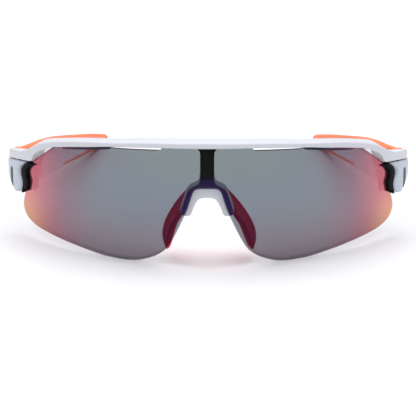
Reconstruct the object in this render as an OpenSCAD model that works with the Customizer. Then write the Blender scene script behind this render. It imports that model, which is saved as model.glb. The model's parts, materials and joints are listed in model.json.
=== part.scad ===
// Wraparound sport sunglasses: one spherical shield hung under a brow bar, two folding arms.
// Millimetres. The front faces -Y, the arms run back toward +Y, the floor is Z = 0.
// "left" is the -X side and "right" the +X side, seen by someone facing the lens.

/* [Shield lens] */
// Outer radius of the spherical lens
lens_radius = 80; // [70:1:95]
// Lens thickness
lens_thickness = 1.8; // [1.2:0.1:2.4]
// Height of the middle of the lens sphere
lens_centre_z = 20; // [14:0.5:28]
// Height of the lens edge in the middle, inside the bar groove
lens_tab_z = 43.3; // [42:0.1:44]
// Air gap round the lens in its grooves
lens_slack = 0.08; // [0.02:0.01:0.2]

/* [Brow bar] */
// How far the bar stands in front of the lens
bar_front = 1.5; // [0.5:0.1:3]
// Depth of the bar from front to back
bar_depth = 5.6; // [5:0.1:7]
// Height of the top of the bar in the middle
bar_top_z = 44.8; // [44:0.1:46]
// Height of the underside of the bar in the middle
bar_under_z = 42.3; // [41.5:0.1:43.2]

/* [Hinges] */
// Distance of each hinge axis from the middle
hinge_x = 66; // [60:0.5:70]
// Distance of the hinge axes behind the front of the lens
hinge_y = 42.5; // [36:0.5:50]
// Height of the middle of each hinge
hinge_z = 21; // [17:0.5:25]
// Backward lean of each hinge axis (degrees)
hinge_lean = 10; // [0:0.5:15]
// Radius of the hinge barrels
barrel_radius = 2.9; // [2.4:0.1:3.4]
// Radius of the hinge screw shank
hinge_pin_radius = 1; // [0.7:0.05:1.3]
// Running clearance round the hinge screw
pin_clearance = 0.04; // [0.01:0.01:0.1]
// Half of the height of the arm tongue
tongue_half = 2.6; // [2:0.1:3.2]
// Free gap between parts that move past one another
moving_gap = 0.35; // [0.3:0.05:0.6]

/* [Temple arms] */
// Thickness of each arm
arm_thickness = 3; // [2.4:0.1:4]
// Sideways run of the arm for each millimetre back
toe_in = 0.212; // [0.15:0.002:0.3]
// Length of each arm behind its hinge axis
arm_length = 110; // [95:1:125]
// Depth of the rubber strip along the top edge
grip_strip = 3; // [2:0.25:4.5]

/* [Nose rest] */
// Half width of the centre post
post_half = 2.5; // [1.5:0.1:4]
// Height where the post meets the nose bridge
post_foot_z = 29.6; // [28:0.1:32]
// Depth of the centre post behind the lens front
post_depth = 7.2; // [6.5:0.1:8]
// Depth of the nose bridge behind the lens front
bridge_depth = 8; // [6:0.25:10]
// Radius of the peg that holds each nose pad
peg_radius = 0.9; // [0.6:0.05:1.1]

/* [Hidden] */
$fn = 64;

front_shift = 75.42;
far = 200;
lens_inner = lens_radius - lens_thickness;
bar_outer = lens_radius + bar_front;
fork_half = 5.3;
lug_under = fork_half + 0.3;
lug_top = lug_under + 3.4;
block_cut = barrel_radius + moving_gap;
head_radius = 1.8;
head_height = 1;
nut_radius = 1.7;
nut_height = 1.2;
lug_plan = [[-6.2, -12], [6.6, -12], [6.6, 2], [1.5, 2], [-1.8, -1.2], [-6.2, -2.6]];
end_screw_at = [-3.2, -5.2];
end_screw_radius = 0.8;
badge_at = [4.75, -3.1, -1.2];
badge_turn = 61;
peg_at = [7.6, 22.2];
end_screw_top = lug_under + 2.2;
tenon_y = 6.2;
tenon_radius = 0.8;
tenon_top = bar_under_z + 1.6;

// One half of each outline: [distance from the middle, height above the floor].
lens_half = [
  [0, lens_tab_z], [15.4, lens_tab_z], [15.4, 41.2], [24, 40.8], [32.4, 40.3],
  [35, 40.9], [41, 39.7], [48, 38.3], [53.4, 37.1], [56.6, 34.1], [61.2, 29.7],
  [63.2, 27], [64, 24.4], [64.6, 21], [65.1, 18.2], [65.7, 15.7], [66.4, 13.2], [66.7, 10.4],
  [66.1, 7.6], [64.6, 5.6], [61.5, 4.1], [56, 3.1], [49, 2.1], [42, 1.1], [36, 0.25],
  [31, 0], [27.4, 0], [23.4, 0.6], [20.4, 1.8], [17.9, 3], [15.5, 4.7], [13.5, 6.6],
  [11.3, 10.7], [9.5, 14.5], [7.9, 18.1], [6.9, 20.4], [5.7, 24], [4.9, 26.6], [4.3, 27.6],
  [3.4, 28.15], [2, 28.3], [0, 28.3]
];
bar_half = [
  [0, bar_top_z], [20, bar_top_z - 0.7], [34.5, 42.5], [46, 40.7], [53.5, 38.7],
  [59, 36.3], [63.5, 33.5], [67, 31], [67, 28], [62.9, 28], [62.2, 30], [61.4, 31.8],
  [60, 33.3], [57.2, 34.9], [54, 36.4], [47.5, 38], [41, 39.2], [33.2, 40.7], [15.2, 42.1],
  [5, bar_under_z], [0, bar_under_z]
];
lip_half = [
  [33.2, 41.5], [46, 39.4], [53, 37.9], [53, 36], [46, 37.4], [34, 39.6], [33.2, 40.2]
];
bridge_half = [
  [0, post_foot_z], [3.2, post_foot_z], [3.9, 29], [5.8, 28.1], [6.9, 26.9], [8.6, 22],
  [9.3, 19.6], [9.1, 18.6], [8.1, 17.9], [6.4, 17.8], [5.7, 18.2], [5.2, 19.4], [4.6, 21],
  [3.7, 22.8], [2.7, 24], [1.4, 24.4], [0, 24.5]
];
post_half_outline = [
  [0, bar_under_z], [3.6, bar_under_z], [3.1, 41.5], [post_half, 40.6], [post_half, 31.4],
  [2.7, 30.3], [3.2, post_foot_z], [0, post_foot_z]
];
pad_front = [
  [4.6, 27.6], [6.2, 26.2], [8.2, 23.4], [10.4, 20], [12.9, 16.1], [15.3, 11.7],
  [16.3, 7.7], [16.2, 4.6], [15.3, 3.2], [14.1, 3.6], [13.4, 5.4], [12.2, 10],
  [10.6, 14], [8.6, 17.2], [6.8, 20.4], [5.2, 23.8], [3.6, 26.4]
];
pad_side = [
  [8, 28], [12, 27], [15.6, 22], [17.4, 15], [16.4, 9], [13, 4], [9, 3.2],
  [6.2, 6.4], [5.8, 14], [6, 17], [8, 17.5]
];

// Outlines of the right arm about its hinge axis. Plan: [outward, back].
// Side: [back, up]. Outline points forward of the axis belong to the front cover.
arm_plan_outer = [
  [1, -8.7], [2.5, -6.9], [4, -4.4], [5.3, -2], [6.3, 0.4], [6.5, 2.2], [5.9, 4.4],
  [4, 7.4], [1.9, 10.4], [-0.3, 15.6], [3.4 - toe_in * 30, 30],
  [3.4 - toe_in * 60, 60], [3.4 - toe_in * arm_length, arm_length]
];
arm_plan_inner = [
  [3.4 - toe_in * arm_length - arm_thickness, arm_length],
  [3.4 - toe_in * 60 - arm_thickness, 60], [3.4 - toe_in * 30 - arm_thickness, 30],
  [-2.7, 15], [-1.4, 10], [0.6, 6.4], [1, 4]
];
arm_side = [
  [-9, 5.1], [3.4, 5.1], [5.2, 7.2], [7.6, 8.6], [12, 9.1], [24, 9.1], [40, 8.3],
  [56, 6.9], [75, 5.1], [90, 3.6], [101, 2.2], [106.5, 1.4], [109.2, 0.4], [109.8, -0.7],
  [108.6, -1.7], [104, -2.9], [99.5, -3.77], [90, -3.9], [75, -4.1], [54, -4.4], [30, -5.2],
  [12, -5.9], [-9, -6.2]
];
grip_side = [
  [7.6, 12], [arm_length + 1, 12], [arm_length + 1, -12], [48, -12], [48, -2.2],
  [75, -1.6], [84, -0.4], [88, 0.2], [84, 0.9], [75, 5.1 - grip_strip],
  [56, 6.9 - grip_strip], [40, 8.3 - grip_strip], [24, 9.1 - grip_strip],
  [12, 9.1 - grip_strip], [9.4, 9.4 - grip_strip]
];
liner_edge = [[3.2, 5.1], [5.2, 7.5], [6.4, 8.1], [6.4, 7.1], [5.6, 6.4], [4.2, 4.8], [3.2, 4]];
liner_plan = [[-1, 3], [2, 3], [2, 6.2], [0.2, 10], [-1.4, 15], [-2.8, 20], [-8, 20]];

function both(half) = concat(
  half, [for (i = [len(half) - 1:-1:0]) if (half[i][0] > 0) [-half[i][0], half[i][1]]]
);

module seat() {
  translate([0, -front_shift, 0]) children();
}

// Children drawn as [x, z] outlines become solids running from y0 to y1.
module front_solid(y0, y1) {
  translate([0, y1, 0]) rotate([90, 0, 0]) linear_extrude(y1 - y0) children();
}

// Children drawn as [y, z] outlines become solids running from x0 to x1.
module side_solid(x0, x1) {
  translate([x0, 0, 0]) rotate([90, 0, 90]) linear_extrude(x1 - x0) children();
}

module lens_ball(radius) {
  translate([0, lens_radius, lens_centre_z]) sphere(radius, $fn = 160);
}

module lens_solid(grow) {
  difference() {
    intersection() {
      lens_ball(lens_radius + grow);
      front_solid(-5, 45)
        translate([0, lens_centre_z]) scale(1 + grow / 40) translate([0, -lens_centre_z])
          polygon(both(lens_half));
    }
    lens_ball(lens_inner - grow);
  }
}

// Places the right hinge frame: +Y back along the arm, +Z up the hinge axis.
module at_hinge() {
  translate([hinge_x, hinge_y, hinge_z]) rotate([-hinge_lean, 0, 0]) children();
}

module on_side(side) {
  seat() mirror([side == "left" ? 1 : 0, 0, 0]) children();
}

module lug() {
  intersection() {
    lens_ball(bar_outer);
    at_hinge() translate([0, 0, lug_under]) linear_extrude(lug_top - lug_under) polygon(lug_plan);
  }
}

module brow_shell() {
  difference() {
    intersection() {
      lens_ball(bar_outer);
      front_solid(-5, 41) polygon(both(bar_half));
    }
    lens_ball(bar_outer - bar_depth);
  }
}

module retaining_lip() {
  difference() {
    intersection() {
      lens_ball(lens_inner);
      front_solid(-5, 41) polygon(lip_half);
    }
    lens_ball(bar_outer - bar_depth);
  }
}

// Everything below the seam between the lug and the parts that hang under it.
module under_lug() {
  at_hinge() translate([-9, -30, -20]) cube([29, 60, 20 + lug_under]);
}

module frame_front() {
  color("whitesmoke") seat() difference() {
    union() {
      brow_shell();
      for (side = [0, 1]) mirror([side, 0, 0]) {
        lug();
        retaining_lip();
      }
    }
    lens_solid(lens_slack);
    for (side = [0, 1]) mirror([side, 0, 0]) {
      under_lug();
      at_hinge() translate([end_screw_at[0], end_screw_at[1], 0])
        cylinder(h = end_screw_top, r = end_screw_radius);
    }
    translate([0, tenon_y, 0]) cylinder(h = tenon_top, r = tenon_radius);
  }
}

module shield_lens() {
  color([0.45, 0.45, 0.5, 0.6]) seat() lens_solid(0);
}

module centre_post() {
  color("dimgray") seat() {
    intersection() {
      lens_ball(lens_inner - 0.1);
      front_solid(-5, post_depth) polygon(both(post_half_outline));
    }
    translate([0, tenon_y, bar_under_z - 1]) cylinder(h = tenon_top - bar_under_z + 1, r = tenon_radius);
  }
}

module nose_bridge() {
  color("whitesmoke") seat() {
    intersection() {
      lens_ball(lens_inner - 0.1);
      front_solid(-5, bridge_depth) polygon(both(bridge_half));
    }
    for (side = [-1, 1])
      translate([side * peg_at[0], bridge_depth - 0.5, peg_at[1]])
        rotate([-90, 0, 0]) cylinder(h = 4, r = peg_radius);
  }
}

module nose_pad(side) {
  color("orangered") on_side(side) difference() {
    intersection() {
      front_solid(bridge_depth - 5, 20) polygon(pad_front);
      side_solid(0, 25) polygon(pad_side);
    }
    front_solid(0, bridge_depth) polygon(both(bridge_half));
    translate([peg_at[0], bridge_depth - 1, peg_at[1]])
      rotate([-90, 0, 0]) cylinder(h = 4.6, r = peg_radius);
  }
}

module end_block(side) {
  color("#1c1c20") on_side(side) difference() {
    intersection() {
      lens_ball(bar_outer - 0.2);
      at_hinge() union() {
        translate([-5, -14, -fork_half]) cube([5.6, 14 - barrel_radius + 1, 2 * fork_half + 0.3]);
        cylinder(h = fork_half, r = barrel_radius);
        translate([0, 0, -fork_half]) cylinder(h = fork_half, r = barrel_radius);
      }
    }
    lens_solid(lens_slack);
    at_hinge() {
      translate([0, 0, -tongue_half - moving_gap])
        cylinder(h = 2 * (tongue_half + moving_gap), r = barrel_radius + moving_gap);
      translate([-6, -barrel_radius - moving_gap, -tongue_half - moving_gap])
        cube([11, 12, 2 * (tongue_half + moving_gap)]);
      translate([0, 0, -far / 2]) cylinder(h = far, r = hinge_pin_radius);
      translate([0, 0, -fork_half - 1]) cylinder(h = 1 + head_height, r = head_radius);
      translate([0, 0, fork_half - nut_height]) cylinder(h = 5, r = nut_radius);
      translate([end_screw_at[0], end_screw_at[1], -far / 2])
        cylinder(h = far, r = end_screw_radius);
      translate([end_screw_at[0], end_screw_at[1], -fork_half - 1])
        cylinder(h = 1 + head_height, r = 1.5);
    }
  }
}

module end_screw(side) {
  color("silver") on_side(side) at_hinge()
    translate([end_screw_at[0], end_screw_at[1], -fork_half]) {
      cylinder(h = fork_half + end_screw_top, r = end_screw_radius);
      cylinder(h = head_height, r = 1.5);
    }
}

module hinge_screw(side) {
  color("silver") on_side(side) at_hinge() translate([0, 0, -fork_half]) {
    cylinder(h = 2 * fork_half, r = hinge_pin_radius);
    cylinder(h = head_height, r = head_radius);
  }
}

module hinge_nut(side) {
  color("darkgray") on_side(side) at_hinge() difference() {
    translate([0, 0, fork_half - nut_height]) cylinder(h = nut_height, r = nut_radius);
    cylinder(h = far, r = hinge_pin_radius);
  }
}

module arm_blank() {
  difference() {
    intersection() {
      translate([0, 0, -20]) linear_extrude(40) polygon(concat(arm_plan_outer, arm_plan_inner));
      side_solid(-40, 20) polygon(arm_side);
    }
    translate([0, 0, -far / 2]) cylinder(h = far, r = block_cut);
  }
}

module tongue() {
  difference() {
    union() {
      translate([0, 0, -tongue_half]) cylinder(h = 2 * tongue_half, r = barrel_radius - 0.2);
      translate([0, -1.4, -tongue_half]) cube([4.4, 4, 2 * tongue_half]);
    }
    translate([0, 0, -far / 2]) cylinder(h = far, r = hinge_pin_radius + pin_clearance);
  }
}

module badge_blank(lift) {
  translate(badge_at) rotate([0, 0, badge_turn - 90]) rotate([0, 90, 0])
    translate([0, 0, -0.6]) {
      translate([-2.6, 0, 0]) cylinder(h = 0.6 + lift, r = 1);
      translate([2.6, 0, 0]) cylinder(h = 0.6 + lift, r = 1);
      translate([-2.6, -1, 0]) cube([5.2, 2, 0.6 + lift]);
    }
}

module liner_zone() {
  side_solid(-40, 20) polygon(liner_edge);
  translate([0, 0, -4.4]) linear_extrude(7.4) polygon(liner_plan);
  translate([-1, 3, -4.4]) cube([3, 2.6, 9.4]);
}

module temple_arm(side) {
  color("whitesmoke") on_side(side) at_hinge() {
    difference() {
      arm_blank();
      side_solid(-40, 20) polygon(grip_side);
      liner_zone();
      badge_blank(0.6);
    }
    tongue();
  }
}

module temple_liner(side) {
  color("orangered") on_side(side) at_hinge() intersection() {
    arm_blank();
    liner_zone();
  }
}

module temple_grip(side) {
  color("orangered") on_side(side) at_hinge() intersection() {
    arm_blank();
    side_solid(-40, 20) polygon(grip_side);
  }
}

module badge(side) {
  color("#2a2a30") on_side(side) at_hinge() badge_blank(0.15);
}

frame_front();
shield_lens();
centre_post();
nose_bridge();
nose_pad("left");  // nose_pad_left
nose_pad("right");  // nose_pad_right
end_block("left");  // end_block_left
end_block("right");  // end_block_right
end_screw("left");  // end_screw_left
end_screw("right");  // end_screw_right
hinge_screw("left");  // hinge_screw_left
hinge_screw("right");  // hinge_screw_right
hinge_nut("left");  // hinge_nut_left
hinge_nut("right");  // hinge_nut_right
temple_arm("left");  // temple_arm_left
temple_arm("right");  // temple_arm_right
temple_liner("left");  // temple_liner_left
temple_liner("right");  // temple_liner_right
temple_grip("left");  // temple_grip_left
temple_grip("right");  // temple_grip_right
badge("left");  // badge_left
badge("right");  // badge_right
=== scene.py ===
import json
import math

import bpy
import numpy as np
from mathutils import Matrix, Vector
from mathutils.geometry import delaunay_2d_cdt


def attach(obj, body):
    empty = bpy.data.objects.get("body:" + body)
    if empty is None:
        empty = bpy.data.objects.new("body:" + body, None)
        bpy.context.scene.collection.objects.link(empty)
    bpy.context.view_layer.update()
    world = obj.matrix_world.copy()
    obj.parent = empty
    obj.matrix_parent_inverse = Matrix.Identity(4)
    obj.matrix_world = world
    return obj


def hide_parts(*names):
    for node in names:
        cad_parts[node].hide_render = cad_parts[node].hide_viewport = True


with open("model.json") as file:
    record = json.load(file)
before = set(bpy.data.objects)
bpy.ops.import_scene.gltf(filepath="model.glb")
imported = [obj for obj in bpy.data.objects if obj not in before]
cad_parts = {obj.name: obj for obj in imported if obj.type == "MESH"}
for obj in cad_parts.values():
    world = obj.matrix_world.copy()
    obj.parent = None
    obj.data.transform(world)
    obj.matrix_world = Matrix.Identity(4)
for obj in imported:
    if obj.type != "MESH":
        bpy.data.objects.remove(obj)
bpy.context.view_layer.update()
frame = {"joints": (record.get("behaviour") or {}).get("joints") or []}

# ---------------------------------------------------------------- places from the frame
# Design lengths are in millimetres, from the front of the lens (Y) and the floor (Z).
MM = 0.001
LENS_R = 80.0       # radius of the lens sphere
LENS_T = 1.8        # thickness of the lens
LENS_Z = 20.0       # height of the sphere's centre
HINGE_Y = 42.5      # how far the hinge axis stands behind the front of the lens
BEHIND_LENS = -1.9  # lift at which the parts behind the lens begin
joints = {joint["name"]: joint for joint in frame["joints"]}
hinge = Vector(joints["right_hinge"]["pos_m"])
lean_axis = Vector(joints["right_hinge"]["axis"]).normalized()
back_axis = Vector((0.0, lean_axis.z, -lean_axis.y))
front_y = hinge.y - HINGE_Y * MM
SIDES = (("right", 1.0), ("left", -1.0))


def at(x, y, z):
    """A point given in design millimetres, in the shared frame."""
    return Vector((x * MM, y * MM + front_y, z * MM))


def on_ball(x, z, lift, seen=0.0):
    """A point over the lens sphere, lift millimetres outside it. x and z are where its
    radius crosses the sphere that is seen millimetres outside the lens."""
    reach = (LENS_R + seen) ** 2 - x * x - (z - LENS_Z) ** 2
    depth = math.sqrt(max(reach, 1.0))
    scale = (LENS_R + lift) / (LENS_R + seen)
    return at(x * scale, LENS_R - depth * scale, LENS_Z + (z - LENS_Z) * scale)


def at_hinge(x, u, w):
    """A point in the right hinge's own frame: outward, back along the arm, up the axis."""
    return hinge + (Vector((x, 0.0, 0.0)) + back_axis * u + lean_axis * w) * MM


# ---------------------------------------------------------------- curves
INSET_STEP = 0.08   # longest single step of an inset


def mirrored(half):
    """A closed list of points from its right half, whose last point lies on the middle."""
    return half + [(-x, z) for x, z in half[-2::-1]]


def catmull(points, steps, closed=False):
    """A smooth curve through the points, steps samples to each stretch."""
    pts = [np.array(p, float) for p in points]
    count = len(pts)
    spans = count if closed else count - 1
    out = []
    for i in range(spans):
        if closed:
            p0, p1, p2, p3 = (pts[(i + k) % count] for k in (-1, 0, 1, 2))
        else:
            p1, p2 = pts[i], pts[i + 1]
            p0 = pts[i - 1] if i else 2 * p1 - p2
            p3 = pts[i + 2] if i + 2 < count else 2 * p2 - p1
        for k in range(steps):
            t = k / steps
            out.append(0.5 * (2 * p1 + (p2 - p0) * t + (2 * p0 - 5 * p1 + 4 * p2 - p3) * t ** 2
                              + (3 * p1 - p0 - 3 * p2 + p3) * t ** 3))
    if not closed:
        out.append(pts[-1])
    return np.array(out)


def even(points, gap):
    """The same closed polyline with evenly spaced points."""
    pts = np.vstack([points, points[:1]])
    run = np.concatenate([[0], np.cumsum(np.linalg.norm(np.diff(pts[:, :2], axis=0), axis=1))])
    count = max(int(round(run[-1] / gap)), 8)
    marks = np.linspace(0, run[-1], count + 1)
    out = np.array([np.interp(marks, run, pts[:, k]) for k in range(pts.shape[1])]).T
    return out[:-1]


def round_corners(corners, radii, steps=8):
    """A closed outline with each corner turned into an arc of its own radius."""
    pts = [np.array(c, float) for c in corners]
    count = len(pts)
    out = []
    for i, corner in enumerate(pts):
        radius = radii[i] if isinstance(radii, (list, tuple)) else radii
        a = pts[i - 1] - corner
        b = pts[(i + 1) % count] - corner
        la, lb = np.linalg.norm(a), np.linalg.norm(b)
        a, b = a / la, b / lb
        half = math.acos(max(-1.0, min(1.0, float(a @ b)))) / 2
        cut = min(radius / math.tan(half), 0.49 * la, 0.49 * lb)
        start, end = corner + a * cut, corner + b * cut
        for k in range(steps + 1):
            t = k / steps
            out.append((1 - t) ** 2 * start + 2 * t * (1 - t) * corner + t ** 2 * end)
    return np.array(out)


def anticlockwise(loop):
    """The loop, turned round if it runs clockwise."""
    x, y = loop[:, 0], loop[:, 1]
    area = np.sum(x * np.roll(y, -1) - np.roll(x, -1) * y)
    return loop if area > 0 else loop[::-1]


def inset(loop, amount):
    """The loop moved inward along its own normals, in small smoothed steps."""
    steps = max(1, int(math.ceil(amount / INSET_STEP)))
    for _ in range(steps if amount else 0):
        along = np.roll(loop, -1, axis=0) - np.roll(loop, 1, axis=0)
        along /= np.linalg.norm(along, axis=1)[:, None] + 1e-12
        loop = loop + np.stack([-along[:, 1], along[:, 0]], axis=1) * amount / steps
        loop = 0.8 * loop + 0.1 * (np.roll(loop, -1, axis=0) + np.roll(loop, 1, axis=0))
    return loop


def inside(points, loop):
    """Which points lie inside the closed loop."""
    x, y = points[:, 0], points[:, 1]
    hit = np.zeros(len(points), bool)
    ax, ay = loop[:, 0], loop[:, 1]
    bx, by = np.roll(ax, -1), np.roll(ay, -1)
    for i in range(len(loop)):
        crosses = (ay[i] > y) != (by[i] > y)
        run = (bx[i] - ax[i]) * (y - ay[i]) / (by[i] - ay[i] + 1e-15) + ax[i]
        hit ^= crosses & (x < run)
    return hit


def curve_of(points):
    """A function of one number through (input, output) points, smoothly."""
    dense = catmull(points, 12)
    return lambda value: float(np.interp(value, dense[:, 0], dense[:, 1]))


# ---------------------------------------------------------------- meshes
RIM_STEPS = 4       # bands of faces round a plate's edge, front and back


class Shape:
    """Vertices and faces of one piece. rim holds the faces that take the second material."""

    def __init__(self):
        self.verts, self.faces, self.rim = [], [], set()

    def add(self, verts, faces):
        """Vertices, and faces that count from the first of them."""
        base = len(self.verts)
        self.verts += verts
        self.faces += [[base + i for i in face] for face in faces]

    def bridge(self, first, second, count, rim=False):
        """A band of quads between two rings of count vertices."""
        for i in range(count):
            j = (i + 1) % count
            if rim:
                self.rim.add(len(self.faces))
            self.faces.append([first + i, first + j, second + j, second + i])


def fill(loop, gap):
    """Points inside a loop and the triangles that cover it, loop points first."""
    low, high = loop.min(0) + gap / 2, loop.max(0)
    grid = np.array([(x, y) for x in np.arange(low[0], high[0], gap)
                     for y in np.arange(low[1], high[1], gap)])
    if len(grid):
        grid = grid[inside(grid, loop)]
    if len(grid):
        near = np.min(np.linalg.norm(grid[:, None] - loop[None], axis=2), axis=1)
        grid = grid[near > gap * 0.6]
    points = np.vstack([loop, grid]) if len(grid) else loop
    count = len(loop)
    edges = [(i, (i + 1) % count) for i in range(count)]
    done = delaunay_2d_cdt([Vector(p) for p in points], edges, [list(range(count))], 1, 1e-7)
    origin = [source[0] if source
              else int(np.argmin(np.linalg.norm(points - np.array(spot), axis=1)))
              for source, spot in zip(done[3], done[0])]
    faces = [[origin[i] for i in face] for face in done[2]]
    return points, [face for face in faces if len(set(face)) == 3]


def plate(outline, place, low, high, edge, bulge, gap, shape=None):
    """A plate cut to an outline, with edges rounded over edge by bulge. place(a, b, h) puts it
    in the world, gap is the size of its faces, and shape is a Shape to add it to."""
    shape = shape or Shape()
    loop = anticlockwise(np.array(outline)[:, :2])
    count = len(loop)
    profile = []
    for k in range(RIM_STEPS + 1):
        angle = math.pi / 2 * k / RIM_STEPS
        profile.append((edge * (1 - math.sin(angle)), bulge * (1 - math.cos(angle))))
    rings = [(inset(loop, cut), high - drop) for cut, drop in profile]
    rings += [(inset(loop, cut), low + drop) for cut, drop in reversed(profile)]
    cap, triangles = fill(rings[0][0], gap)
    top = len(shape.verts)
    shape.add([place(a, b, high) for a, b in cap], triangles)
    previous = top
    for ring, height in rings[1:-1]:
        start = len(shape.verts)
        shape.verts += [place(a, b, height) for a, b in ring]
        shape.bridge(start, previous, count, rim=True)
        previous = start
    bottom = len(shape.verts)
    shape.add([place(a, b, low) for a, b in cap], [face[::-1] for face in triangles])
    shape.bridge(bottom, previous, count, rim=True)
    return shape


def loft(rings):
    """Closed rings joined in order, with both ends capped by fans."""
    shape = Shape()
    count = len(rings[0])
    starts = []
    for ring in rings:
        starts.append(len(shape.verts))
        shape.verts += ring
    for first, second in zip(starts, starts[1:]):
        shape.bridge(first, second, count)
    for start, ring, flip in ((starts[0], rings[0], True), (starts[-1], rings[-1], False)):
        centre = len(shape.verts)
        shape.verts.append(sum(ring, Vector()) / count)
        for i in range(count):
            j = (i + 1) % count
            face = [start + i, start + j, centre]
            shape.faces.append(face[::-1] if flip else face)
    return shape


def build(name, shape, body, materials, nodes=(), mirror=False, angle=40):
    """Turns a Shape into a piece that rides on a body and stands for CAD nodes."""
    flip = -1.0 if mirror else 1.0
    verts = [(v[0] * flip, v[1], v[2]) for v in shape.verts]
    faces = [face[::-1] for face in shape.faces] if mirror else shape.faces
    mesh = bpy.data.meshes.new(name)
    mesh.from_pydata(verts, [], faces)
    for material in materials:
        mesh.materials.append(material)
    if len(materials) > 1:
        for index in shape.rim:
            mesh.polygons[index].material_index = 1
    mesh.validate()
    piece = bpy.data.objects.new(name, mesh)
    bpy.context.scene.collection.objects.link(piece)
    mesh.shade_smooth()
    mesh.set_sharp_from_angle(angle=math.radians(angle))
    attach(piece, body)
    if nodes:
        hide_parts(*nodes)
    return piece


# ---------------------------------------------------------------- materials
# Colours of the lens, and where they change (metres out from the middle, or up from the floor).
LENS_MIDDLE = (0.040, 0.006, 0.100)
LENS_SIDE = (0.86, 0.22, 0.25)
LENS_WARM = (1.0, 0.46, 0.17)
LENS_HIGH = (0.020, 0.030, 0.016)
LENS_RIM = (0.30, 0.05, 0.05)
LENS_TINT = ((0.260, 0.303, 0.350), (0.272, 0.320, 0.330))
LENS_LOW_TINT = (0.300, 0.275, 0.290)
LENS_HIGH_TINT = (0.276, 0.322, 0.330)
LENS_SOLID = (0.20, 0.78)          # share of the mirror shader in the middle and at the sides
LENS_METAL = 0.85                  # how metallic the mirror is at the sides
LENS_ROUGH, LENS_SPECULAR = (0.035, 0.06), 0.25
EDGE_ROUGH, EDGE_SPECULAR = (0.1, 0.16), 0.1
SIDE_FADE = (0.030, 0.076)
WARM_FADE_OUT = (0.052, 0.067)
WARM_FADE_DOWN = (0.024, 0.004)
LOW_FADE = (0.026, 0.003)
HIGH_FADE_IN = (0.040, 0.012)
HIGH_FADE_UP = (0.028, 0.035)

BEHIND_HINGE = (hinge.y + 3 * MM, hinge.y + 9 * MM)   # where an arm's second colour, lighter as painted light, takes over
BROAD_NOISE = 160.0                # scales of the noises: colour, smears and tint of the lens
SMEAR_NOISE = 300.0
CLOUD_NOISE = 30.0
NOISE_SPAN = (0.3, 0.7)            # the part of a noise that roughness follows
RELIEF_DEPTH = 0.0002


def node(tree, kind, **values):
    """A new node with some of its own settings."""
    made = tree.nodes.new(kind)
    for key, value in values.items():
        setattr(made, key, value)
    return made


def noise(tree, scale, detail=3.0):
    """A noise texture laid over the object in the shared frame."""
    coords = node(tree, "ShaderNodeTexCoord")
    texture = node(tree, "ShaderNodeTexNoise")
    texture.inputs["Scale"].default_value = scale
    texture.inputs["Detail"].default_value = detail
    tree.links.new(coords.outputs["Object"], texture.inputs["Vector"])
    return texture.outputs["Fac"]


def ramp(tree, source, low, high, out_low=0.0, out_high=1.0):
    """Maps one number smoothly from low..high to out_low..out_high."""
    mapped = node(tree, "ShaderNodeMapRange", interpolation_type="SMOOTHSTEP")
    for key, value in (("From Min", low), ("From Max", high),
                       ("To Min", out_low), ("To Max", out_high)):
        mapped.inputs[key].default_value = value
    tree.links.new(source, mapped.inputs["Value"])
    return mapped.outputs["Result"]


def blend_colour(tree, factor, first, second):
    """Mixes two colours, each a tuple or a socket."""
    mix = node(tree, "ShaderNodeMix", data_type="RGBA")
    tree.links.new(factor, mix.inputs["Factor"])
    for key, value in (("A", first), ("B", second)):
        socket = [s for s in mix.inputs if s.name == key and s.type == "RGBA"][0]
        if isinstance(value, tuple):
            socket.default_value = value + (1.0,)
        else:
            tree.links.new(value, socket)
    return [s for s in mix.outputs if s.type == "RGBA"][0]


def finish_of(name, colour, rough, vary=0.05, grain=900.0, bump=0.05, behind=None, **fixed):
    """A material with slight colour and roughness variation and a fine surface grain. The colour
    turns to the one called behind, if there is one, past the hinges, where it serves as painted
    light."""
    material = bpy.data.materials.new(name)
    material.use_nodes = True
    tree = material.node_tree
    shader = tree.nodes["Principled BSDF"]
    broad = noise(tree, BROAD_NOISE)
    fine = noise(tree, grain, 4.0)
    darker = tuple(c * (1 - vary) for c in colour)
    lighter = tuple(min(c * (1 + vary), 1.0) for c in colour)
    shade = blend_colour(tree, broad, darker, lighter)
    if behind:
        split = node(tree, "ShaderNodeSeparateXYZ")
        tree.links.new(node(tree, "ShaderNodeTexCoord").outputs["Object"], split.inputs["Vector"])
        past = ramp(tree, split.outputs["Y"], *BEHIND_HINGE)
        shade = blend_colour(tree, past, shade, behind)
    tree.links.new(shade, shader.inputs["Base Color"])
    tree.links.new(ramp(tree, fine, *NOISE_SPAN, rough * 0.85, rough * 1.15),
                   shader.inputs["Roughness"])
    relief = node(tree, "ShaderNodeBump")
    relief.inputs["Strength"].default_value = bump
    relief.inputs["Distance"].default_value = RELIEF_DEPTH
    tree.links.new(fine, relief.inputs["Height"])
    tree.links.new(relief.outputs["Normal"], shader.inputs["Normal"])
    for key, value in fixed.items():
        shader.inputs[key.replace("_", " ")].default_value = value
    return material


def place_masks(tree):
    """Masks over the lens: 1 at its sides, at the low part of its side rims, at its foot and
    at the top of its middle."""
    coords = node(tree, "ShaderNodeTexCoord")
    split = node(tree, "ShaderNodeSeparateXYZ")
    tree.links.new(coords.outputs["Object"], split.inputs["Vector"])
    outward = node(tree, "ShaderNodeMath", operation="ABSOLUTE")
    tree.links.new(split.outputs["X"], outward.inputs[0])
    side = ramp(tree, outward.outputs[0], *SIDE_FADE)
    warm = node(tree, "ShaderNodeMath", operation="MULTIPLY")
    tree.links.new(ramp(tree, outward.outputs[0], *WARM_FADE_OUT), warm.inputs[0])
    tree.links.new(ramp(tree, split.outputs["Z"], *WARM_FADE_DOWN), warm.inputs[1])
    low = ramp(tree, split.outputs["Z"], *LOW_FADE)
    high = node(tree, "ShaderNodeMath", operation="MULTIPLY")
    tree.links.new(ramp(tree, outward.outputs[0], *HIGH_FADE_IN), high.inputs[0])
    tree.links.new(ramp(tree, split.outputs["Z"], *HIGH_FADE_UP), high.inputs[1])
    return side, warm.outputs[0], low, high.outputs[0]


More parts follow.
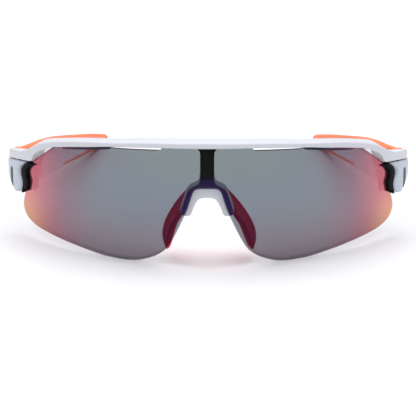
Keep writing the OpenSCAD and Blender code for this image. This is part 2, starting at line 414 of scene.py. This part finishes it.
def lens_material(name):
    """The front of the lens: a blue-grey tint that turns to a red and orange mirror round the
    sides and to neutral grey at the top of the middle."""
    material = bpy.data.materials.new(name)
    material.use_nodes = True
    tree = material.node_tree
    shader = tree.nodes["Principled BSDF"]
    side, warm, low, high = place_masks(tree)
    sides = blend_colour(tree, warm, LENS_SIDE, LENS_WARM)
    middle = blend_colour(tree, high, LENS_MIDDLE, LENS_HIGH)
    tree.links.new(blend_colour(tree, side, middle, sides), shader.inputs["Base Color"])
    tree.links.new(ramp(tree, side, 0.0, 1.0, 0.0, LENS_METAL), shader.inputs["Metallic"])
    smear = noise(tree, SMEAR_NOISE, 2.0)
    tree.links.new(ramp(tree, smear, *NOISE_SPAN, *LENS_ROUGH), shader.inputs["Roughness"])
    shader.inputs["Specular IOR Level"].default_value = LENS_SPECULAR
    tint = node(tree, "ShaderNodeBsdfTransparent")
    cloud = noise(tree, CLOUD_NOISE, 1.0)
    clouded = blend_colour(tree, cloud, LENS_TINT[0], LENS_TINT[1])
    upper = blend_colour(tree, high, clouded, LENS_HIGH_TINT)
    tree.links.new(blend_colour(tree, low, upper, LENS_LOW_TINT), tint.inputs["Color"])
    both = node(tree, "ShaderNodeMixShader")
    tree.links.new(ramp(tree, side, 0.0, 1.0, *LENS_SOLID), both.inputs[0])
    tree.links.new(tint.outputs[0], both.inputs[1])
    tree.links.new(shader.outputs[0], both.inputs[2])
    tree.links.new(both.outputs[0], tree.nodes["Material Output"].inputs["Surface"])
    return material


def lens_edge(name, middle, alpha):
    """The inner face or the cut rim of the lens, redder toward the sides."""
    material = bpy.data.materials.new(name)
    material.use_nodes = True
    tree = material.node_tree
    shader = tree.nodes["Principled BSDF"]
    side = place_masks(tree)[0]
    tree.links.new(blend_colour(tree, side, middle, LENS_RIM), shader.inputs["Base Color"])
    smear = noise(tree, SMEAR_NOISE, 2.0)
    tree.links.new(ramp(tree, smear, *NOISE_SPAN, *EDGE_ROUGH), shader.inputs["Roughness"])
    shader.inputs["Alpha"].default_value = alpha
    shader.inputs["Specular IOR Level"].default_value = EDGE_SPECULAR
    return material


white = finish_of("white_nylon", (0.61, 0.615, 0.66), 0.34, vary=0.02, grain=2600.0, bump=0.06)
orange = finish_of("orange_rubber", (0.95, 0.20, 0.068), 0.55, vary=0.05, grain=3200.0, bump=0.12)
# The arm's white nylon: darker and bluer at the hinge cover as painted shade, lighter past the
# hinge as painted light on its inner faces.
arm_painted_shade_light = finish_of("white_nylon_arm_painted_shade_light", (0.49, 0.54, 0.61), 0.36, vary=0.02, grain=2600.0, bump=0.06,
                 behind=(0.78, 0.77, 0.82))
black = finish_of("black_gloss", (0.004, 0.004, 0.005), 0.25, vary=0.2, grain=1500.0, bump=0.03,
                  Specular_IOR_Level=0.03)
dark = finish_of("black_post", (0.020, 0.018, 0.018), 0.45, vary=0.1, grain=2600.0, bump=0.08)
steel = finish_of("steel", (0.60, 0.60, 0.62), 0.28, vary=0.06, grain=4200.0, bump=0.05,
                  Metallic=1.0)
mark = finish_of("dark_badge", (0.020, 0.022, 0.032), 0.30, vary=0.1, grain=2600.0, bump=0.05)
pad_rubber = finish_of("orange_pad_rubber", (0.78, 0.050, 0.036), 0.6, vary=0.05, grain=3200.0,
                       bump=0.12, Specular_IOR_Level=0.04)
# Painted shade: a dark violet for the white saddle where the lens shades it.
shade_seat_paint = finish_of("violet_painted_shade_seat", (0.24, 0.12, 0.42), 0.6, vary=0.08, grain=3000.0, bump=0.1,
                        Specular_IOR_Level=0.1)
smoke = lens_material("smoke_lens")
smoke_back = lens_edge("smoke_lens_back", (0.02, 0.02, 0.03), 0.12)
smoke_edge = lens_edge("smoke_lens_edge", (0.02, 0.02, 0.03), 0.35)
smoke_rim = lens_edge("smoke_lens_rim", (0.02, 0.015, 0.02), 0.92)


# ---------------------------------------------------------------- brow bar
BAR_FRONT = 1.5     # how far the bar's face stands in front of the lens
BAR_REACH = 72.6    # half its width
BAR_END = 1.3       # rounding at each end
BAR_GAP = 0.9       # between its sections
# Each curve gives a height or a depth for a distance out from the middle.
bar_top = curve_of([(0, 44.05), (20, 43.5), (34, 42.15), (41, 41.35), (47.5, 40.3), (54, 38.6),
                    (59.1, 36.4), (62, 34.5), (64.5, 32.7), (67, 31.3), (70, 30.5), (72.6, 29.9)])
bar_rear_top = curve_of([(0, 46.3), (20, 45.7), (34, 44.0), (41, 43.05), (47.5, 41.9), (54, 40.3),
                         (59.1, 38.6), (62, 36.9), (64.5, 34.3), (67, 31.3), (70, 30.2),
                         (72.6, 29.6)])
bar_under = curve_of([(0, 42.25), (8, 42.25), (15.2, 42.1), (20, 41.9), (33.2, 40.85), (41, 39.6),
                      (47.5, 38.4), (54, 36.7), (57.2, 35.0), (60.3, 33.1), (61.6, 31.5),
                      (62.4, 29.6), (63.6, 28.0), (66, 26.8), (72.6, 25.0)])
bar_rise = curve_of([(0, 0), (50, 0), (52, 0.2), (54.5, 1.3), (58, 2.2), (60.6, 1.6), (62, 0.3),
                     (63, 0), (72.6, 0)])
bar_deep = curve_of([(0, 4.1), (40, 4.1), (47, 3.8), (53, 2.9), (56, 2.6), (59.5, 2.6), (62, 3.6),
                     (65, 5.7), (67.8, 8.0), (69.6, 6.0), (71, 4.0), (72.6, 2.4)])
SEAM_W = 5.72       # height of the seam over the hinge, up the hinge axis
SEAM_FROM = 60.5    # the seam begins this far out


def over_seam(point):
    """Lifts a point of the lug onto the seam plane that lies over the hinge parts."""
    if abs(point.x) < SEAM_FROM * MM:
        return point
    right_hand = Vector((abs(point.x), point.y, point.z))
    short = SEAM_W * MM - (right_hand - hinge).dot(lean_axis)
    return point + lean_axis * short if short > 0 else point


def shell_sweep(stations, top, rear_top, under, rise, front, back, radii, end_radius, seen,
                settle=None):
    """A bar swept along the lens sphere with a rounded section and rounded ends. top, under,
    rear_top and rise shape it in height, front and back in lift, settle moves single points."""
    first, last = stations[0], stations[-1]
    rings = []
    for x in stations:
        run = max((first + end_radius - x) / end_radius, (x - last + end_radius) / end_radius, 0.0)
        shrink = end_radius * (1 - math.sqrt(max(1 - run * run, 0.0))) * 0.98
        reach = abs(x)
        f, b = front(reach) - shrink, back(reach) + shrink
        t, r, u = top(reach) - shrink, rear_top(reach) - shrink, under(reach) + shrink
        ring = [on_ball(x, z, lift, seen)
                for lift, z in round_corners([(f, u), (f, t), (b, r), (b, u + rise(reach))], radii)]
        rings.append([settle(p) for p in ring] if settle else ring)
    return loft(rings)


def stations_to(reach, gap, end_radius):
    """Evenly spaced stations with extra ones over each rounded end."""
    core = list(np.linspace(-reach + end_radius, reach - end_radius, int(2 * reach / gap)))
    ends = [reach - end_radius + end_radius * math.sin(math.pi / 2 * k / 6) for k in range(1, 7)]
    return [-e for e in reversed(ends)] + core + ends


bar = shell_sweep(stations_to(BAR_REACH, BAR_GAP, BAR_END), bar_top, bar_rear_top, bar_under,
                  bar_rise, lambda x: BAR_FRONT, lambda x: -bar_deep(x), [0.3, 0.75, 0.9, 0.4],
                  BAR_END, BAR_FRONT, over_seam)
build("brow_bar", bar, "front", [white], ["frame_front"], angle=50)


def lip_top(x):
    """The retaining lip starts inside the bar."""
    return bar_under(x) + 0.8


LIP_FROM, LIP_LONG, LIP_STEPS = 34.2, 18.6, 30
LIP_BACK = -4.0
lip_under = curve_of([(33, 39.7), (34, 39.5), (46, 37.2), (53.6, 35.8)])
for side, sign in SIDES:
    reach = [LIP_FROM + LIP_LONG * k / LIP_STEPS for k in range(LIP_STEPS + 1)]
    strip = shell_sweep(reach, lip_top, lip_top, lip_under, lambda x: 0.0, lambda x: BEHIND_LENS,
                        lambda x: LIP_BACK, [0.3, 0.3, 0.3, 0.5], 0.9, 0.0)
    build("lens_lip_" + side, strip, "front", [white], ["frame_front"],
          mirror=sign < 0)


# ---------------------------------------------------------------- shield lens
# Right half of the outline, as distances out and heights over the floor.
lens_rim = [(56.6, 34.1), (61.2, 29.7), (63.3, 27.0), (64.2, 24.4), (64.7, 21.0), (65.1, 18.2),
            (65.7, 15.7), (66.4, 13.0), (66.7, 10.4), (66.1, 7.6), (64.6, 5.6), (61.5, 4.1),
            (56, 3.1), (49, 2.1), (42, 1.1), (36, 0.25), (31, 0.0), (27.4, 0.0), (23.4, 0.6),
            (20.4, 1.7), (17.9, 2.9), (15.5, 4.6), (13.5, 6.7), (11.3, 10.7), (9.5, 14.5),
            (7.9, 18.1), (6.9, 20.4), (5.7, 24.0), (4.9, 26.6), (4.3, 27.7), (3.4, 28.2),
            (2.0, 28.35), (0, 28.35)]
lens_top = [(0, 43.3), (15.4, 43.3), (15.4, 41.2), (24, 40.8), (32.4, 40.3), (34.5, 40.9),
            (41, 39.7), (48, 38.3), (53.4, 37.1)]
RIM_DARK_ABOVE = 28.6   # the cut edge is dark above this height, where the notch ends
FRONT_ROUND = 0.4       # depth of the edge rounding that counts as front


def shield_lens():
    """The lens: a plate of the sphere with its front, back, dark rim and pale rim faces."""
    half = np.vstack([lens_top, catmull(lens_rim, 8)])
    loop = np.vstack([half, [(-x, z) for x, z in half[::-1] if x > 0]])
    shape = plate(even(loop, 0.8), on_ball, -LENS_T, 0.0, edge=0.35, bulge=0.35, gap=1.6)
    lens = build("shield_lens_piece", shape, "front",
                 [smoke, smoke_rim, smoke_back, smoke_edge], ["shield_lens"])
    mesh = lens.data
    centre = at(0, LENS_R, LENS_Z)
    normals = [(0.0, 0.0, 0.0)] * len(mesh.loops)
    for face in mesh.polygons:
        if face.index in shape.rim:
            front_edge = (face.center - centre).length > (LENS_R - FRONT_ROUND) * MM
            if face.center.z < RIM_DARK_ABOVE * MM or not front_edge:
                face.material_index = 3
            continue
        if face.normal.dot(face.center - centre) < 0:
            face.material_index = 2
        for index in face.loop_indices:
            ray = (mesh.vertices[mesh.loops[index].vertex_index].co - centre).normalized()
            normals[index] = tuple(ray if face.normal.dot(ray) > 0 else -ray)
    mesh.normals_split_custom_set(normals)


shield_lens()


# ---------------------------------------------------------------- nose rest
# The post and the nose bridge reach from just behind the lens back to a flat face.
POST_BACK = 7.2
BRIDGE_BACK = 8.0
SHADE_SEAT_LIFTS = (-2.06, -1.88)   # lifts between which the painted-shade seat lies
BRIDGE_FRONT = -2.05


def centre_post():
    """The dark post behind the middle of the lens."""
    half = [(0, 42.9), (3.9, 42.9), (3.6, 41.9), (3.0, 41.2), (2.45, 40.3), (2.42, 31), (0, 31)]
    loop = np.array(half[1:-1] + [(-x, z) for x, z in half[-2:0:-1]])
    post = plate(even(round_corners(loop, 0.7), 0.3),
                 lambda a, b, h: on_ball(a, b, BEHIND_LENS).lerp(at(a, POST_BACK, b), h),
                 0.0, 1.0, edge=0.5, bulge=0.14, gap=0.8)
    build("centre_post_piece", post, "front", [dark], ["centre_post"])


def nose_bridge():
    """The white saddle, and the thin violet seat between it and the lens: a sheet of painted shade
    where the lens shades the saddle.
    """
    half = [(2.42, 31.5), (2.5, 30.6), (2.9, 29.8), (4.1, 29.0), (5.8, 28.2), (6.9, 26.9),
            (7.8, 24.4), (8.6, 22), (9.3, 19.6), (9.1, 18.5), (8.1, 17.9), (6.5, 17.85),
            (5.7, 18.3), (5.2, 19.5), (4.6, 21), (3.7, 22.9), (2.7, 24.1), (1.4, 24.5), (0, 24.55)]
    loop = catmull(mirrored(half), 6, closed=True)
    saddle = plate(even(loop, 0.35),
                   lambda a, b, h: on_ball(a, b, BRIDGE_FRONT).lerp(at(a, BRIDGE_BACK, b), h),
                   0.0, 1.0, edge=0.8, bulge=0.16, gap=0.8)
    build("nose_bridge_piece", saddle, "front", [white], ["nose_bridge"])
    half = [(2.42, 31.3), (2.5, 30.6), (2.9, 29.8), (4.1, 29.0), (5.7, 28.1), (6.8, 26.8),
            (7.7, 24.4), (8.5, 22), (9.15, 19.6), (8.95, 18.7), (8.2, 18.3), (7.75, 19.2),
            (7.1, 20.7), (5.95, 24.2), (5.15, 26.7), (4.5, 27.9), (3.5, 28.45), (2.0, 28.6),
            (0, 28.6)]
    loop = catmull(mirrored(half), 6, closed=True)
    # The seat is a dark sheet of painted shade over the saddle's front, just behind the lens.
    seat = plate(even(loop, 0.35), on_ball, *SHADE_SEAT_LIFTS, edge=0.1, bulge=0.08, gap=0.8)
    build("nose_bridge_shade_sheet", seat, "front", [shade_seat_paint], ["nose_bridge"])


# The pads' inner, outer, front and back limits for a height over the floor.
pad_inner = curve_of([(3.2, 14.1), (4.6, 13.6), (6.2, 13.1), (10.3, 12.0), (14, 10.6), (16.7, 8.9),
                      (20, 7.1), (24, 5.2), (27.8, 3.2)])
pad_outer = curve_of([(3.2, 15.6), (4.6, 16.2), (7.7, 16.4), (11.7, 15.3), (16.1, 12.9), (20, 10.4),
                      (23, 8.2), (26, 6.3), (27.8, 5.0)])
pad_front = curve_of([(3.2, 8.6), (6.4, 6.6), (14, 6.2), (17.0, 6.6), (19, 8.2), (27.8, 8.2)])
pad_back = curve_of([(3.2, 11.4), (5, 13.8), (9, 16.2), (15, 17.2), (22, 15.4), (25, 13.4),
                     (27.8, 10.8)])
PAD_TOP = 27.8          # height of the top, and from there down to the foot
PAD_DROP = 24.4
PAD_LEAN = 0.9          # both pads lean to one side, as in the photo
PAD_HALF = 1.15         # half the thickness
PAD_RINGS = 33
PAD_SPINE = 15          # points along each section
PAD_CAP = 8             # steps round each end of a section


def pad_ring(spine, half_thick):
    """The closed outline of a section: the spine made half_thick thick, with round ends."""
    along = np.gradient(np.array(spine), axis=0)
    along = [d / np.linalg.norm(d) for d in along]
    left = [p + np.array([d[1], -d[0]]) * half_thick for p, d in zip(spine, along)]
    right = [p - np.array([d[1], -d[0]]) * half_thick for p, d in zip(spine, along)]

    def end(p, d, start):
        """The half circle round one end, from the angle start."""
        turns = [start + math.pi * a / PAD_CAP for a in range(1, PAD_CAP)]
        across = np.array([-d[1], d[0]])
        return [p + half_thick * (d * math.cos(t) + across * math.sin(t)) for t in turns]
    return (left + end(spine[-1], along[-1], -math.pi / 2)
            + right[::-1] + end(spine[0], along[0], math.pi / 2))


def nose_pad(side, sign):
    """A splayed rubber wing, lofted from its top down, its face toward the nose."""
    rings = []
    for k in range(PAD_RINGS):
        t = k / (PAD_RINGS - 1)
        z = PAD_TOP - PAD_DROP * t
        lean = sign * PAD_LEAN * t * t
        close = math.sqrt(max(1 - abs(2 * t - 1) ** 6, 0.0004))
        start = np.array([pad_inner(z) + 1.0, pad_front(z) + 1.1])
        end = np.array([pad_outer(z) - 1.1, pad_back(z) - 1.2])
        mid = (start + end) / 2
        bow = mid + np.array([-1.0, 0.9])
        spine = [(1 - s) ** 2 * start + 2 * s * (1 - s) * bow + s * s * end
                 for s in (j / (PAD_SPINE - 1) for j in range(PAD_SPINE))]
        spine = [mid + (p - mid) * (0.45 + 0.55 * close) for p in spine]
        rings.append([at(x + lean, y, z) for x, y in pad_ring(spine, PAD_HALF * close)])
    pad = build("nose_pad_" + side + "_piece", loft(rings), "front", [pad_rubber],
                ["nose_pad_" + side], mirror=sign < 0)


centre_post()
nose_bridge()
for side, sign in SIDES:
    nose_pad(side, sign)


# ---------------------------------------------------------------- temple arms
# In the hinge frame: how far out the two faces are for a distance u behind the axis.
arm_out = curve_of([(-12.5, -2.7), (-11.5, -1.6), (-10.6, -0.6), (-8.7, 1.0), (-6.9, 2.5),
                    (-4.4, 4.0), (-2, 5.3), (0.4, 6.3), (2.2, 6.5), (4.4, 5.9), (7.4, 4.0),
                    (10.4, 1.9), (15.6, 0.1), (30, -2.96), (60, -9.32), (111, -20.13)])
arm_in = curve_of([(-12.5, -4.2), (-11.5, -3.1), (-8.7, -0.5), (-6.9, 1.0), (-4.4, 2.5),
                   (-3.2, 3.1), (-1.5, 3.4), (0, 3.45), (2, 3.45), (3.2, 3.0), (4.4, 1.4),
                   (6.4, 0.6), (10, -1.2), (15, -2.75), (30, -5.96), (60, -12.32),
                   (111, -23.13)])
COVER_TO = 12.0     # the hinge cover ends this far behind the axis
COVER_OUT = 6.45    # its slanting cut: how far out, at which height, and how steep
COVER_W = -0.9
COVER_SLANT = 0.53
COVER_SOFT = 0.35   # rounding where the cut meets the plain face
NO_CUT = 99.0
ARM_LEAST = 0.5     # the arm's least thickness


def outer_face(u, w):
    """How far out the arm's outer face is, cut away below the hinge."""
    plain = arm_out(u)
    cut = COVER_OUT + COVER_SLANT * (w - COVER_W) if u < COVER_TO else NO_CUT
    return 0.5 * (plain + cut - math.sqrt((plain - cut) ** 2 + COVER_SOFT * COVER_SOFT))


def on_arm(proud_in, proud_out):
    """A mapping whose height runs from the inner face (0) to the outer face (1) of the arm."""
    def place(a, b, h):
        low, high = arm_in(a) - proud_in, outer_face(a, b) + proud_out
        high = max(high, low + ARM_LEAST)
        return at_hinge(low + (high - low) * h, a, b)
    return place


# Outlines seen from the side: distance behind the axis, height along it.
white_side = [(-10.7, 4.95), (-9.7, 4.1), (-8.2, 3.2), (-7.5, 1.9), (-7.7, 0.3), (-8.4, -1.4),
              (-8.6, -3.0), (-8.2, -4.6), (-7.5, -5.9), (-6.4, -6.2), (0, -6.2), (12, -5.9),
              (30, -5.2), (46.5, -4.65), (49, -3.9), (60, -3.5), (75, -3.2), (86, -2.2),
              (93, -0.2), (88, 1.9), (75, 3.6), (56, 5.4), (40, 6.9), (24, 7.7), (12, 7.7),
              (8.6, 7.5), (6.6, 6.9), (5.0, 5.6), (4.0, 4.7), (2.4, 5.1), (-4, 5.1), (-9.8, 5.15)]
grip_outline = [(8.6, 8.1), (12, 8.55), (24, 8.75), (40, 8.15), (56, 6.75), (75, 4.9), (90, 3.4),
                (101, 2.05), (106.5, 1.3), (109.0, 0.3), (109.6, -0.7), (108.3, -1.8),
                (104, -2.8), (99.5, -3.4), (90, -3.55), (75, -3.7), (54, -4.1), (48.4, -4.25),
                (47.6, -3.4), (48.4, -2.65), (60, -2.35), (75, -1.95), (84, -0.7), (87.4, 0.2),
                (84, 1.0), (75, 2.1), (56, 3.9), (40, 5.3), (24, 6.1), (12, 6.1), (9.6, 6.4),
                (8.5, 7.2)]
liner_outline = [(3.05, 5.1), (4.1, 6.3), (5.3, 7.5), (6.9, 8.35), (7.4, 7.5), (6.0, 6.5),
                 (4.9, 5.2), (3.9, 4.1), (3.0, 4.1)]
inner_liner = [(4.8, -4.2), (19.2, -3.8), (19.4, 2.2), (12, 2.8), (5.0, 2.8)]


def arm_plate(name, outline, smooth, place, edge, bulge, gap, body, material, nodes,
              mirror):
    """Builds one piece of an arm from its outline seen from the side."""
    loop = catmull(outline, 6, closed=True) if smooth else round_corners(outline, 0.9)
    shape = plate(even(loop, gap * 0.8), place, 0.0, 1.0, edge=edge, bulge=bulge, gap=gap)
    return build(name, shape, body, [material], nodes, mirror, angle=50)


def tongue_outline(radius, reach, low, high):
    """A round eye of the given radius, and its straight root between low and high."""
    turn = [math.radians(a) for a in range(60, 321, 10)]
    eye = [(radius * math.cos(t), radius * math.sin(t)) for t in turn]
    return np.array(eye + [(reach, low), (reach, high)])


TONGUE_HALF = 2.55  # half its height along the hinge axis
BADGE_R = 1.0       # radius of the badge's ends, and how far they are from its middle
BADGE_LONG = 2.6
BADGE_AT = (-3.1, -1.2)
BADGE_WIDTH = 0.86  # the pill is narrowed by this
BADGE_RISE = 1.15


def temple(side, sign):
    """One arm: white core, orange grip, two liner pieces, hinge tongue and badge."""
    body, mirror = "temple_" + side, sign < 0
    arm_plate("temple_arm_%s_piece" % side, white_side, True, on_arm(0.0, 0.0), 0.75, 0.24, 1.0,
              body, arm_painted_shade_light, ["temple_arm_" + side], mirror)
    arm_plate("temple_grip_%s_piece" % side, grip_outline, True, on_arm(0.22, 0.22), 0.8, 0.26, 1.0,
              body, orange, ["temple_grip_" + side], mirror)
    arm_plate("temple_liner_%s_edge" % side, liner_outline, True, on_arm(0.1, 0.1), 0.35, 0.12, 0.6,
              body, orange, ["temple_liner_" + side], mirror)

    def inside_face(a, b, h):
        return at_hinge(arm_in(a) - 0.3 + 1.2 * h, a, b)
    arm_plate("temple_liner_%s_pad" % side, inner_liner, False, inside_face, 0.4, 0.3, 1.0,
              body, orange, ["temple_liner_" + side], mirror)

    tongue = plate(even(tongue_outline(2.62, 4.1, -1.6, 2.6), 0.35), at_hinge,
                   -TONGUE_HALF, TONGUE_HALF, edge=0.3, bulge=0.3, gap=0.8)
    build("temple_tongue_" + side, tongue, body, [white], ["temple_arm_" + side],
          mirror)

    pill = [(BADGE_R * math.cos(t),
             BADGE_LONG * (1 if math.sin(t) > 0 else -1) + BADGE_R * math.sin(t))
            for t in (2 * math.pi * (k + 0.5) / 36 for k in range(36))]

    def on_cover(a, b, h):
        u, w = BADGE_AT[0] + a * BADGE_WIDTH, BADGE_AT[1] + b
        return at_hinge(outer_face(u, w) + h * BADGE_RISE, u, w)
    badge = plate(even(np.array(pill), 0.25), on_cover, -0.5, 0.13, edge=0.2, bulge=0.12, gap=0.5)
    build("badge_%s_piece" % side, badge, body, [mark], ["badge_" + side], mirror)


for side, sign in SIDES:
    temple(side, sign)


# ---------------------------------------------------------------- end blocks and screws
# Plans in the hinge frame, and the cap's outline as seen from the front.
EAR_R = 2.85
ear_arc = [(EAR_R * math.cos(t), EAR_R * math.sin(t))
           for t in (math.radians(a) for a in range(-76, 181, 8))]
core_front = [(-4.9, -10.6), (-3.8, -9.4), (-2.6, -8.1), (-1.0, -7.0), (0.5, -5.7)]
ear_plan = np.array(ear_arc + [(-3.3, -1.9), (-4.5, -2.2), (-4.9, -2.9)] + core_front)
body_plan = np.array([(0.5, -3.5), (-4.9, -3.5)] + core_front)
cap_front = [(61.9, 28.1), (63.4, 26.9), (64.5, 25.0), (64.5, 23.2), (64.0, 21.6), (64.1, 20.2),
             (64.5, 18.6), (64.8, 17.4), (65.3, 18.0), (65.9, 17.6), (66.3, 16.3), (66.9, 15.7),
             (67.0, 16.8), (66.5, 19.5), (66.7, 21.2), (67.1, 23.0), (66.9, 24.8), (65.9, 26.6),
             (64.9, 27.5), (63.6, 28.3)]


EAR_IN, EAR_OUT = 2.95, 5.25   # heights of the ears from the middle of the hinge
BODY_HALF = 3.2
CAP_SEEN = 1.2                 # lift at which the cap's outline is measured
CAP_LIFTS = (-3.0, 1.15)       # its back and its front


def end_block(side, sign):
    """The gloss black block: two hinge ears, the body between them and the front cap."""
    shape = Shape()
    for outline, low, high in ((ear_plan, EAR_IN, EAR_OUT), (body_plan, -BODY_HALF, BODY_HALF),
                               (ear_plan, -EAR_OUT, -EAR_IN)):
        plate(even(outline, 0.4), at_hinge, low, high, edge=0.3, bulge=0.3, gap=1.0, shape=shape)
    cap = catmull(cap_front, 5, closed=True)
    plate(even(cap, 0.3), lambda a, b, h: on_ball(a, b, h, CAP_SEEN), *CAP_LIFTS,
          edge=0.5, bulge=0.45, gap=0.6, shape=shape)
    build("end_block_%s_piece" % side, shape, "front", [black],
          ["end_block_" + side], sign < 0)


def hexed(radius, angle, share):
    """A radius that turns from a circle (share 0) into a hexagon (share 1)."""
    third = math.pi / 3
    flat = math.cos(third / 2) / math.cos((angle % third) - third / 2)
    return radius * (1 + (flat - 1) * share)


SPUN_SIDES = 48


def spun(profile, centre, base_w):
    """Rings of (radius, height, hexagon share) about an axis along the hinge's."""
    turns = [2 * math.pi * k / SPUN_SIDES for k in range(SPUN_SIDES)]
    return loft([[at_hinge(centre[0] + hexed(r, t, share) * math.cos(t),
                           centre[1] + hexed(r, t, share) * math.sin(t), base_w + h) for t in turns]
                 for r, h, share in profile])


def screw_profile(shank, head, deep, length):
    """Rings of a screw with a hex socket: shank and head radii, head depth, whole length."""
    return [(head * 0.5, 0.6, 1), (head * 0.5, 0.08, 1), (head * 0.58, 0, 0), (head * 0.86, 0, 0),
            (head * 0.98, 0.12, 0), (head, 0.25, 0), (head, deep, 0), (shank, deep, 0),
            (shank, length - 0.2, 0), (shank * 0.8, length, 0)]


HINGE_AT = (0, 0)
END_SCREW_AT = (-3.2, -5.2)
SCREW_BASE = -5.3   # heights from the middle of the hinge at which screws and nuts begin
NUT_BASE = 4.12
hinge_screw = screw_profile(1.0, 1.78, 1.0, 10.5)
hinge_nut = [(1.4, 0, 0), (1.66, 0.15, 1), (1.66, 1.0, 1), (1.4, 1.15, 0)]
end_screw = screw_profile(0.8, 1.48, 1.0, 13.0)


def screws(side, sign):
    """The steel parts of one side: hinge screw, its nut and the screw of the end block."""
    for name, profile, spot, base in (("hinge_screw_", hinge_screw, HINGE_AT, SCREW_BASE),
                                      ("hinge_nut_", hinge_nut, HINGE_AT, NUT_BASE),
                                      ("end_screw_", end_screw, END_SCREW_AT, SCREW_BASE)):
        build(name + side + "_piece", spun(profile, spot, base), "front", [steel],
              [name + side], sign < 0)


for side, sign in SIDES:
    end_block(side, sign)
    screws(side, sign)


# ---------------------------------------------------------------- studio
WORLD = (0.62, 1.02)                 # brightness of the surroundings, below and above
WORLD_TINT = (0.95, 0.965, 1.0, 1.0)
LAMPS = (                            # name, place, size, power
    ("overhead", (0.0, 0.08, 0.74), (1.1, 0.7), 5.0),
)
LAMP_AIM = (0, 60, 10)
FLOOR_HALF, FLOOR_CELLS = 3.0, 12
CAMERA_TILT, CAMERA_TURN = 19.0, 0.5
CAMERA_AIM = (0, 38, 8.8)
CAMERA_AWAY = 0.65
CAMERA_LENS = 155.5


def lay_floor(scene):
    """A pale floor, as a grid so that its shading stays even."""
    half, cells = FLOOR_HALF, FLOOR_CELLS
    verts = [(-half + 2 * half * i / cells, -half + 2 * half * j / cells, 0.0)
             for j in range(cells + 1) for i in range(cells + 1)]
    faces = [(j * (cells + 1) + i, j * (cells + 1) + i + 1, (j + 1) * (cells + 1) + i + 1,
              (j + 1) * (cells + 1) + i) for j in range(cells) for i in range(cells)]
    mesh = bpy.data.meshes.new("floor")
    mesh.from_pydata(verts, [], faces)
    mesh.materials.append(finish_of("pale_floor", (0.82, 0.82, 0.83), 0.7, vary=0.01, grain=60.0,
                                    bump=0.0))
    floor = bpy.data.objects.new("floor", mesh)
    scene.collection.objects.link(floor)


def light(scene):
    """Surroundings that brighten upward, and the lamps."""
    world = bpy.data.worlds.new("studio")
    scene.world = world
    world.use_nodes = True
    tree = world.node_tree
    tree.nodes["Background"].inputs["Color"].default_value = WORLD_TINT
    split = node(tree, "ShaderNodeSeparateXYZ")
    tree.links.new(node(tree, "ShaderNodeTexCoord").outputs["Generated"], split.inputs["Vector"])
    tree.links.new(ramp(tree, split.outputs["Z"], 0.0, 1.0, WORLD[0], WORLD[1]),
                   tree.nodes["Background"].inputs["Strength"])
    for name, spot, size, power in LAMPS:
        data = bpy.data.lights.new(name, "AREA")
        data.shape = "RECTANGLE"
        data.size, data.size_y = size
        data.energy = power
        lamp = bpy.data.objects.new(name, data)
        lamp.location = spot
        lamp.rotation_euler = (at(*LAMP_AIM) - Vector(spot)).to_track_quat("-Z", "Y").to_euler()
        scene.collection.objects.link(lamp)


def point_camera(scene):
    """The camera of the photo: in front, a little above, far away with a long lens."""
    tilt, turn = math.radians(CAMERA_TILT), math.radians(CAMERA_TURN)
    toward = Vector((-math.sin(turn) * math.cos(tilt), math.cos(turn) * math.cos(tilt),
                     -math.sin(tilt)))
    data = bpy.data.cameras.new("camera")
    data.sensor_width = 36.0
    data.lens = CAMERA_LENS
    data.clip_start = 0.01
    camera = bpy.data.objects.new("camera", data)
    camera.location = at(*CAMERA_AIM) - toward * CAMERA_AWAY
    camera.rotation_euler = toward.to_track_quat("-Z", "Y").to_euler()
    scene.collection.objects.link(camera)
    scene.camera = camera


def studio():
    """Everything that isn't the object: floor, light and camera."""
    scene = bpy.context.scene
    scene.view_settings.view_transform = "Standard"
    scene.view_settings.look = "None"
    lay_floor(scene)
    light(scene)
    point_camera(scene)


studio()
